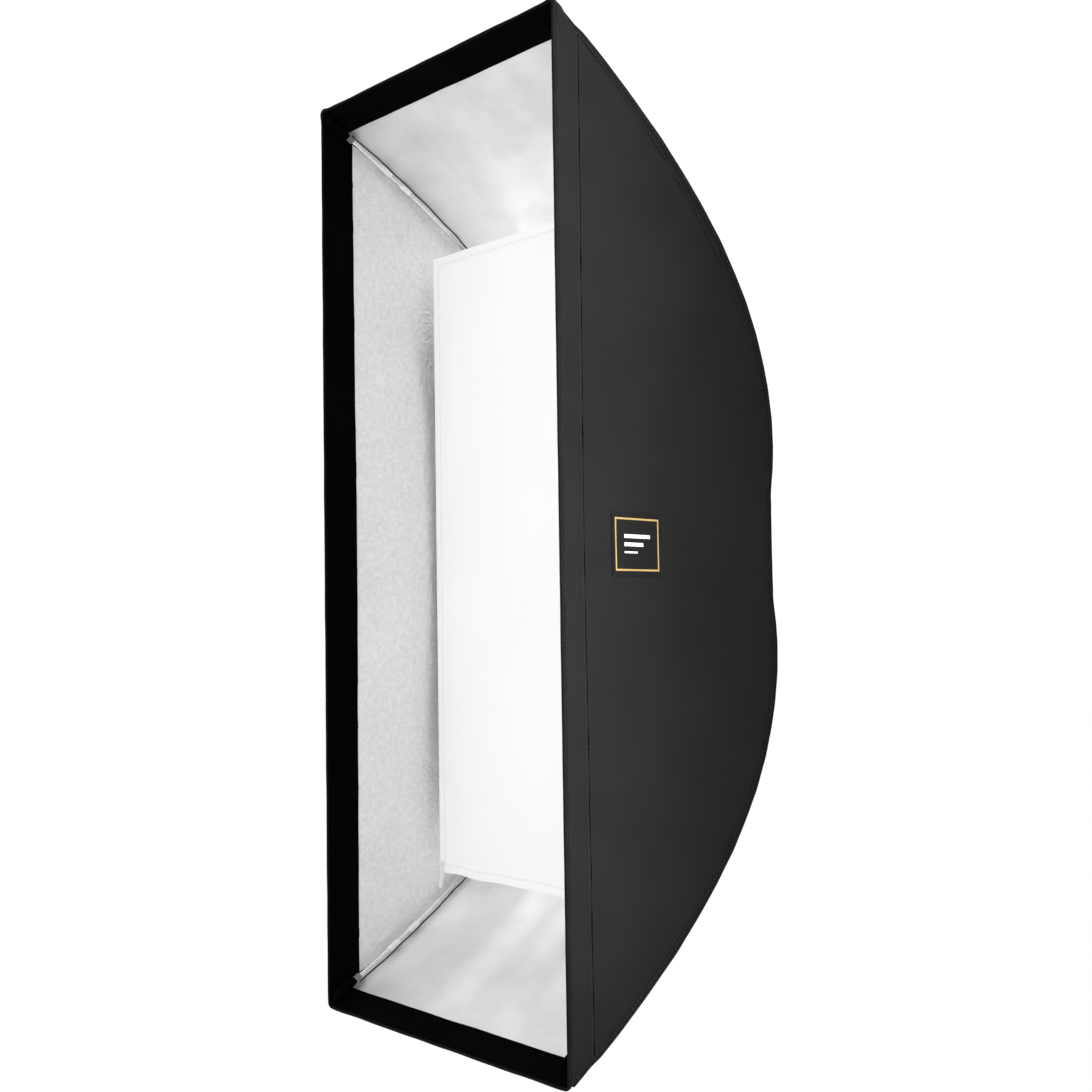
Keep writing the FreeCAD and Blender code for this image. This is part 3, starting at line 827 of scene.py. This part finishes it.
def back_grid(level, inset, hole):
    corner = math.atan2(PANEL_TOP, float(half_width(PANEL_S)))
    angles = np.sort(np.concatenate([np.linspace(0, math.pi, 241), [corner, math.pi - corner]]))
    share = graded(16)[:, None]
    radius = hole + (back_outline(angles) - hole) * share
    x, z = radius * np.cos(angles), radius * np.sin(angles)
    near = np.exp(-(radius - hole) / 0.010)
    lift = 0.0011 * collar_ruffles(angles) * near + 0.0012 * near
    y = profile(s_at_height(z))[0] + lift - inset
    return np.stack([x, y, LEVELS[level] * z], axis=-1)


def make_back_layer(name, slot, level, inset, hole, thickness):
    grid = back_grid(level, inset, hole)
    return make_piece(f"{name}_{level}", slot, [sheet(grid, thickness, BACKWARD)])


def make_collar(level):
    """The ruffled elastic hem round the ring."""
    angles = np.linspace(0, math.pi, 300)
    around = np.linspace(0, 2 * math.pi, 12, endpoint=False)
    wire = (COLLAR_WIRE * (1 + 0.22 * collar_ruffles(angles)))[:, None]
    radius = HOLE_RADIUS + 0.0004 + wire * np.cos(around)
    z = radius * np.sin(angles)[:, None]
    y = profile(s_at_height(z))[0] + 0.0012 + 1.25 * wire * np.sin(around)
    rings = np.stack([radius * np.cos(angles)[:, None], y, LEVELS[level] * z], axis=-1)
    return make_piece(f"collar_hem_{level}", "elastic", [tube(rings)])


# The bound seams

def seam_frame(z, side, level):
    """Points down a bowed seam, with the directions into the side panel, outwards and along."""
    s = s_at_height(z)
    y, height = profile(s)
    height = np.where(z > BACK_HALF_HEIGHT, height, z)
    points = np.stack([side * half_width(s), y, level * height], axis=1)
    out_y, out_z = profile_normal(s)
    outward = np.stack([np.zeros_like(z), out_y, level * out_z], axis=1)
    sideways = np.zeros_like(points)
    sideways[:, 0] = side
    return points, -outward, sideways


def tape_width(z, level):
    """The tape is widest half way up, and much wider above than below."""
    middle = np.sin(math.pi * np.clip((z - 0.05) / (BAND_Z - 0.05), 0, 1)) ** 0.8
    widest = 0.0130 if level == "top" else 0.0058
    return 0.0036 + (widest - 0.0036) * middle


def seam_bulge(z):
    """Where the rods' sockets push the seam out near the back."""
    return 0.0018 * np.exp(-(((z - 0.112) / 0.038) ** 4))


# Where the painted shade strip beside each rod runs, and how far in from the seam
ROD_SHADE_S = (0.30, 0.955)
ROD_SHADE_FROM_SEAM = 0.0066


def rod_shade_strip(side, level):
    """A black strip on the lining beside the rod, carried by the seam tape: painted shade for the rod's
    shaded side.
    """
    s = np.linspace(*ROD_SHADE_S, 110)
    x = SIDES[side] * (half_width(s) - ROD_SHADE_FROM_SEAM)
    out = end_relief(s, x) - end_liner_inset(level)(s, x) - LINER_THICK
    around = np.linspace(0, 2 * math.pi, 8, endpoint=False)
    lift = out[:, None] - 0.0003 + 0.0005 * np.sin(around)
    across = x[:, None] + SIDES[side] * 0.0009 * np.cos(around)
    return tube(over_outline(s[:, None], across, lift, level))


def make_seam(side, level):
    z = np.concatenate([np.linspace(0.0, 0.05, 12)[:-1], np.linspace(0.05, HALF_HEIGHT - 0.003, 140)])
    points, into, out = seam_frame(z, SIDES[side], LEVELS[level])
    over_band = 0.0010 * rise(z - BAND_Z + 0.004, 0.008)[:, None]
    points = points + (into - out) * over_band
    width = tape_width(z, level)
    uneven = 0.0003 * waves(z, (0.041, 0.027, 0.066), 71)
    bulge = seam_bulge(z) + np.abs(uneven) - 0.0009 * (1 - rise(z - 0.10, 0.10))
    lift = 0.0008 + uneven
    none = np.zeros_like(z)
    section = [
        (width, none - 0.0002), (width, 0.7 * lift), (width - 0.0008, lift),
        (width * 0.5, 1.15 * lift), (none + 0.0016, lift + 0.0002), (none, lift + 0.0010),
        (-0.0013 - 0.6 * bulge, lift + 0.0004), (-0.0019 - bulge, none - 0.0008),
        (-0.0016 - bulge, none - 0.0026), (-0.0011 - 0.6 * bulge, none - 0.0050),
        (-0.0008 - 0.2 * bulge, none - 0.0085), (none - 0.0003, none - 0.0090),
        (none + 0.0003, none - 0.0002),
    ]
    rings = np.stack([points + into * a[:, None] + out * b[:, None] for a, b in section], axis=1)
    rows = []
    for share in (0.14, 0.86):
        line = points + into * (width * share)[:, None] + out * (1.12 * lift)[:, None]
        rows.append(stitches(line, out))
    # The tape piece also carries the painted shade strip that lies beside the rod
    tape = make_piece(
        f"seam_tape_{level}_{side}", "binding_tape",
        [tube(rings), rod_shade_strip(side, level)],
    )
    thread = make_piece(f"seam_thread_{level}_{side}", "binding_tape", rows, BLACK_THREAD)
    return [tape, thread]


def make_back_seam(level):
    """The short bound seam between an end panel and the back panel."""
    x = float(half_width(PANEL_S)) * np.linspace(-1, 1, 90)
    y, z = profile(PANEL_S)
    out_y, out_z = profile_normal(PANEL_S)
    around = np.linspace(0, 2 * math.pi, 12, endpoint=False)
    wire = (0.0014 + 0.0002 * waves(x, (0.031, 0.047), 81))[:, None]
    flat = wire * np.cos(around) * 2.2
    proud = 0.0002 + wire * np.sin(around)
    rings = np.stack([
        np.broadcast_to(x[:, None], flat.shape),
        y + proud * out_y - flat * out_z,
        LEVELS[level] * (z + proud * out_z + flat * out_y),
    ], axis=-1)
    return make_piece(f"back_seam_{level}", "binding_tape", [tube(rings)])


# The baffle

def baffle_lines(low, high, hem, count):
    """Stations across the baffle, with a close pair where each hem is turned."""
    inner = np.linspace(low + hem, high - hem, count)
    ends = [low, low + 0.0006, low + hem / 2, low + hem - 0.0005]
    return np.concatenate([ends, inner, [low + high - e for e in reversed(ends)]])


BAFFLE_HEM = 0.009
BAFFLE_THICK = 0.0006
TAB_THICK = 0.0009


def baffle_end(level):
    """The height where the baffle ends. It hangs a little lower than it reaches up."""
    return BAFFLE_HIGH.z if level == "top" else -BAFFLE_LOW.z


def baffle_grid(level):
    half = BAFFLE_HIGH.x
    end = baffle_end(level)
    x = baffle_lines(-half, half, BAFFLE_HEM, 50)[None, :]
    z = np.linspace(0.0, end - BAFFLE_HEM, 64)
    z = np.concatenate([z, [end - BAFFLE_HEM + 0.0005, end - BAFFLE_HEM / 2, end - 0.0006, end]])
    z = z[:, None] * np.ones_like(x)
    x = x * np.ones_like(z)
    signed = LEVELS[level] * z
    to_edge = np.minimum(half - np.abs(x), end - z)
    hem = rise(BAFFLE_HEM - to_edge, 0.0005)
    calm = rise(half - np.abs(x), 0.05) * rise(end - z, 0.06)
    drape = 0.0014 * waves(x + 0.12 * signed, (0.21, 0.13), 91) * calm
    drape += 0.0010 * waves(signed, (0.47, 0.29), 93) * calm
    wavy = 0.0004 if level == "top" else 0.0012
    scallop = wavy * waves(x, (0.071, 0.109), 95) * rise(half - np.abs(x), 0.04)
    z_out = signed + LEVELS[level] * scallop * rise(z - end + 0.06, 0.06)
    y = BAFFLE_LOW.y + drape - 0.0002 * hem
    return np.stack([x, y, z_out], axis=-1)


def make_baffle(level):
    grid = baffle_grid(level)
    return make_piece(f"inner_baffle_{level}", "diffusion_fabric", [sheet(grid, BAFFLE_THICK, FORWARD)])


def make_baffle_thread(level):
    grid = baffle_grid(level)
    lift = np.array([0.0, -0.0003, 0.0])
    rows = []
    for line in (grid[:-3, 4], grid[:-3, -5], grid[-4, 3:-3]):
        up = np.broadcast_to(FORWARD, line.shape)
        rows.append(stitches(line + lift, up, radius=0.00025))
    return make_piece(f"baffle_thread_{level}", "diffusion_fabric", rows, WHITE_THREAD)


def strap_part(side, level):
    """A narrow elastic tab sewn to a corner of the baffle. The upper ones lean back behind it."""
    end = baffle_end(level)
    t = np.linspace(0, 1, 26)[:, None]
    across = np.linspace(BAFFLE_HIGH.x - 0.0075, BAFFLE_HIGH.x - 0.0015, 7)[None, :]
    free = rise(t - 0.3, 0.7)
    if level == "top":
        z, y = end - 0.012 + 0.010 * t, BAFFLE_HIGH.y + 0.0012 + 0.014 * free
    else:
        z, y = end - 0.012 + 0.028 * t, BAFFLE_LOW.y - 0.0008 - 0.0014 * free
    x, y, z = np.broadcast_arrays(across + 0.002 * free, y, z)
    grid = np.stack([SIDES[side] * x, y, LEVELS[level] * z], axis=-1)
    return sheet(grid, TAB_THICK, FORWARD)


def make_straps(level):
    return make_piece(
        f"baffle_tabs_{level}", "white_elastic",
        [strap_part(side, level) for side in SIDES],
    )


# What rides on the rods

def rod_frame(s, side, level):
    """Points along a rod with its outward and sideways directions."""
    y, z = profile(s)
    out_y, out_z = profile_normal(s)
    x = side * (half_width(s) - ROD_SIDE_INSET)
    points = np.stack([x, y - ROD_INSET * out_y, level * (z - ROD_INSET * out_z)], axis=1)
    outward = np.stack([np.zeros_like(s), out_y, level * out_z], axis=1)
    return points, outward, np.array([side, 0.0, 0.0])


def sleeve(s, radius, tab, sharpness, side, level, around=28):
    """A tube on the rod, drawn out towards the shell's seam where its cloth is sewn on."""
    points, outward, sideways = rod_frame(s, SIDES[side], LEVELS[level])
    angles = np.linspace(-math.pi, math.pi, around, endpoint=False)
    drawn = np.exp(-(((angles - math.pi / 4) / sharpness) ** 2))
    reach = radius[:, None] + tab[:, None] * drawn
    return (
        points[:, None]
        + outward[:, None] * (reach * np.sin(angles))[..., None]
        + sideways * (reach * np.cos(angles))[..., None]
    )


POCKET_START_S = 0.962
POCKET_END_S = 0.994
FERRULE_START_S = 0.953
FERRULE_LENGTH_S = 0.010


def make_corner_pocket(side, level):
    """The sewn pocket that takes the rod's tip, under the lip."""
    t = np.linspace(0, 1, 34)
    s = POCKET_START_S + (POCKET_END_S - POCKET_START_S) * t
    radius = 0.0038 + 0.0009 * rise(t, 0.3) - 0.0030 * rise(t - 0.9, 0.1)
    radius = radius + 0.00015 * waves(t, (0.31, 0.17), 101)
    tab = 0.0090 * (1 - 0.5 * rise(t - 0.8, 0.2)) * rise(t, 0.45)
    rings = sleeve(s, radius, tab, 0.50, side, level)
    return make_piece(f"corner_pocket_cloth_{level}_{side}", "black_lining", [tube(rings)])


def make_ferrule(side, level):
    """The grey collar at the pocket's mouth."""
    t = np.array([0.0, 0.06, 0.16, 0.35, 0.5, 0.65, 0.84, 0.94, 1.0])
    radius = np.array([2.6, 3.1, 3.4, 3.4, 3.0, 3.4, 3.4, 3.1, 2.6]) / 1000
    s = FERRULE_START_S + FERRULE_LENGTH_S * t
    rings = sleeve(s, radius, 0 * t, 1.0, side, level)
    return make_piece(f"rod_collar_{level}_{side}", "grey_plastic", [tube(rings)])


LOOP_STARTS = (0.846, 0.884)
LOOP_LENGTH_S = 0.018
LOOP_TAB = 0.0075


def make_rod_loops(side, level):
    """Silver cloth loops that tie the rod to the lining's seam."""
    t = np.array([0.0, 0.04, 0.12, 0.3, 0.5, 0.7, 0.88, 0.96, 1.0])
    radius = np.array([2.6, 2.8, 2.9, 2.9, 3.0, 2.9, 2.9, 2.8, 2.6]) / 1000
    parts = []
    for start in LOOP_STARTS:
        s = start + LOOP_LENGTH_S * t
        tab = LOOP_TAB + 0 * t
        parts.append(tube(sleeve(s, radius, tab, 0.16, side, level, 44)))
    return make_piece(f"rod_loop_cloth_{level}_{side}", "silver_lining", parts)


# The label on the right wall

LABEL_RISE = 0.0006


def label_grid(low_y, high_y, low_z, high_z, lift):
    """Points on the right side panel, lifted off it."""
    y = np.linspace(low_y, high_y, max(3, int((high_y - low_y) / 0.003)))[None, :]
    z = np.linspace(low_z, high_z, max(3, int((high_z - low_z) / 0.003)))[:, None]
    y, z = np.broadcast_arrays(y, z)
    x = side_x(y, z) + side_relief(y, z) + lift
    return np.stack([x, y, z], axis=-1)


def on_label(low_y, high_y, low_z, high_z, lift, thickness=0.0005):
    """A part on the label, in shares of its length and height."""
    low, size = LABEL_LOW, LABEL_HIGH - LABEL_LOW
    return sheet(label_grid(
        low.y + size.y * low_y, low.y + size.y * high_y,
        low.z + size.z * low_z, low.z + size.z * high_z, lift,
    ), thickness)


def make_label():
    """A woven rectangle with a muted gold border and a few plain bars."""
    ground = make_piece("label_ground", "woven_label", [on_label(0, 1, 0, 1, LABEL_RISE + 0.0002)])
    near, far, line = 0.06, 0.94, 0.022
    tall = line * (LABEL_HIGH.y - LABEL_LOW.y) / (LABEL_HIGH.z - LABEL_LOW.z)
    low_z, high_z = 0.08, 0.92
    lift = LABEL_RISE + 0.00045
    border = make_piece("label_border", "woven_label", [
        on_label(near, near + line, low_z, high_z, lift),
        on_label(far - line, far, low_z, high_z, lift),
        on_label(near, far, low_z, low_z + tall, lift + 0.00005),
        on_label(near, far, high_z - tall, high_z, lift + 0.00005),
    ], GOLD_THREAD)
    bars = make_piece("label_bars", "woven_label", [
        on_label(0.24, 0.76, 0.60, 0.66, lift),
        on_label(0.24, 0.62, 0.47, 0.53, lift),
        on_label(0.24, 0.50, 0.36, 0.39, lift),
    ], PALE_THREAD)
    return [ground, border, bars]


# Building it all


def build_sides(level):
    for side in SIDES:
        panel = make_side_panel(side, level)
        liner = make_side_liner(side, level)
        tape, thread = make_seam(side, level)
        bend_with_rods([tape, thread, panel, liner])
        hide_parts(f"seam_binding_{level}_{side}")
        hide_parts(f"shell_{side}")


def build_ends(level):
    panel = make_end_panel(level)
    liner = make_end_liner(level)
    seam = make_back_seam(level)
    bend_with_rods([panel, liner, seam])
    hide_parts(f"shell_{level}")


def build_rim(level):
    band = make_front_band(level)
    lip = make_lip(level)
    hem = make_front_hem(level)
    rows = [stitches(*rim_line(depth, lift, level)) for depth, lift in RIM_STITCHES]
    thread = make_piece(f"rim_thread_{level}", "binding_tape", rows, BLACK_THREAD)
    bend_with_rods([band, lip, hem, thread])
    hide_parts("front_hem")
    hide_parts(f"lip_{level}", "lip_right", "lip_left")


def build_back(level):
    panel = make_back_layer("back_panel", "outer_fabric", level, 0.0, HOLE_RADIUS, OUTER_THICK)
    liner = make_back_layer(
        "back_liner", "silver_lining", level, LINER_INSET, HOLE_RADIUS + 0.001, LINER_THICK,
    )
    collar = make_collar(level)
    bend_with_rods([panel, liner, collar])
    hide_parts("shell_back")
    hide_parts("collar_binding")


def build_baffle(level):
    baffle = make_baffle(level)
    thread = make_baffle_thread(level)
    straps = make_straps(level)
    bend_with_rods([baffle, thread, straps])
    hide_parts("baffle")
    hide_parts("baffle_straps")


def build_rod_cloth(side, level):
    body = f"rod_{level}_{side}"
    pocket = make_corner_pocket(side, level)
    ferrule = make_ferrule(side, level)
    loops = make_rod_loops(side, level)
    for piece in (pocket, ferrule, loops):
        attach(piece, body)
    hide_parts(f"corner_pocket_{level}_{side}")
    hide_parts(f"rod_loops_{level}_{side}")


def build_label():
    ground, border, bars = make_label()
    for piece in (ground, border, bars):
        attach(piece, "softbox")
    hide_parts("label_patch")


# The studio

CAMERA_PLACE = Vector((1.0533, -1.1577, -0.0634))
CAMERA_YAW = 0.8393
CAMERA_PITCH = 0.0477
CAMERA_ROLL = -0.0151
CAMERA_LENS = 46.96
CAMERA_SHIFT = -0.0021
FLOOR_Z = -1.15
FLOOR_HALF = 14.0


def make_camera():
    forward = Vector((
        -math.sin(CAMERA_YAW) * math.cos(CAMERA_PITCH),
        math.cos(CAMERA_YAW) * math.cos(CAMERA_PITCH),
        math.sin(CAMERA_PITCH),
    ))
    right = Vector((math.cos(CAMERA_YAW), math.sin(CAMERA_YAW), 0.0))
    up = right.cross(forward)
    turn = Matrix.Rotation(CAMERA_ROLL, 3, -forward)
    right, up = turn @ right, turn @ up
    data = bpy.data.cameras.new("camera")
    data.lens = CAMERA_LENS
    data.sensor_width = 36.0
    data.shift_y = CAMERA_SHIFT
    made = bpy.data.objects.new("camera", data)
    rotation = Matrix((right, up, -forward)).transposed()
    made.matrix_world = Matrix.Translation(CAMERA_PLACE) @ rotation.to_4x4()
    bpy.context.scene.collection.objects.link(made)
    bpy.context.scene.camera = made


def make_light(name, place, target, size, power, spread=180):
    """A soft rectangular light that spreads over so many degrees. The camera doesn't see it."""
    data = bpy.data.lights.new(name, "AREA")
    data.shape = "RECTANGLE"
    data.size, data.size_y = size
    data.energy = power
    data.spread = math.radians(spread)
    made = bpy.data.objects.new(name, data)
    made.location = place
    made.visible_camera = False
    made.rotation_euler = (Vector(target) - Vector(place)).to_track_quat("-Z", "Y").to_euler()
    bpy.context.scene.collection.objects.link(made)


WORLD_STRENGTH = 1.06
KEY_POWER = 8.0
FILL_POWER = 5.6
LAMP_POWERS = {"top": 0.13, "bottom": 0.095}


def make_floor():
    corners = [(-1, -1), (1, -1), (1, 1), (-1, 1)]
    mesh = bpy.data.meshes.new("floor")
    mesh.from_pydata([(x * FLOOR_HALF, y * FLOOR_HALF, FLOOR_Z) for x, y in corners], [], [(0, 1, 2, 3)])
    mesh.materials.append(floor_material())
    floor = bpy.data.objects.new("floor", mesh)
    bpy.context.scene.collection.objects.link(floor)


def make_world():
    world = bpy.data.worlds.new("studio")
    world.use_nodes = True
    background = world.node_tree.nodes["Background"]
    background.inputs["Color"].default_value = (1.0, 1.0, 1.0, 1.0)
    background.inputs["Strength"].default_value = WORLD_STRENGTH
    bpy.context.scene.world = world


def make_lights():
    """A key from the front, a strip beside the opening, and a small lamp inside at each end."""
    make_light("key", (-0.5, -2.6, 0.9), (0.0, -0.2, 0.0), (1.6, 1.6), KEY_POWER)
    make_light("fill", (0.38, -0.325, 0.10), (0.17, -0.335, 0.10), (0.08, 1.0), FILL_POWER)
    for level, sign in LEVELS.items():
        make_light(
            f"lamp_{level}", (0.0, -0.17, sign * 0.25), (0.0, -0.22, sign * 0.43),
            (0.26, 0.05), LAMP_POWERS[level], spread=120,
        )


finish_cad_nodes()
for each_level in LEVELS:
    build_sides(each_level)
    build_ends(each_level)
    build_rim(each_level)
    build_back(each_level)
    build_baffle(each_level)
    for each_side in SIDES:
        build_rod_cloth(each_side, each_level)
build_label()
make_floor()
make_world()
make_lights()
make_camera()
bpy.context.scene.view_settings.view_transform = "Standard"
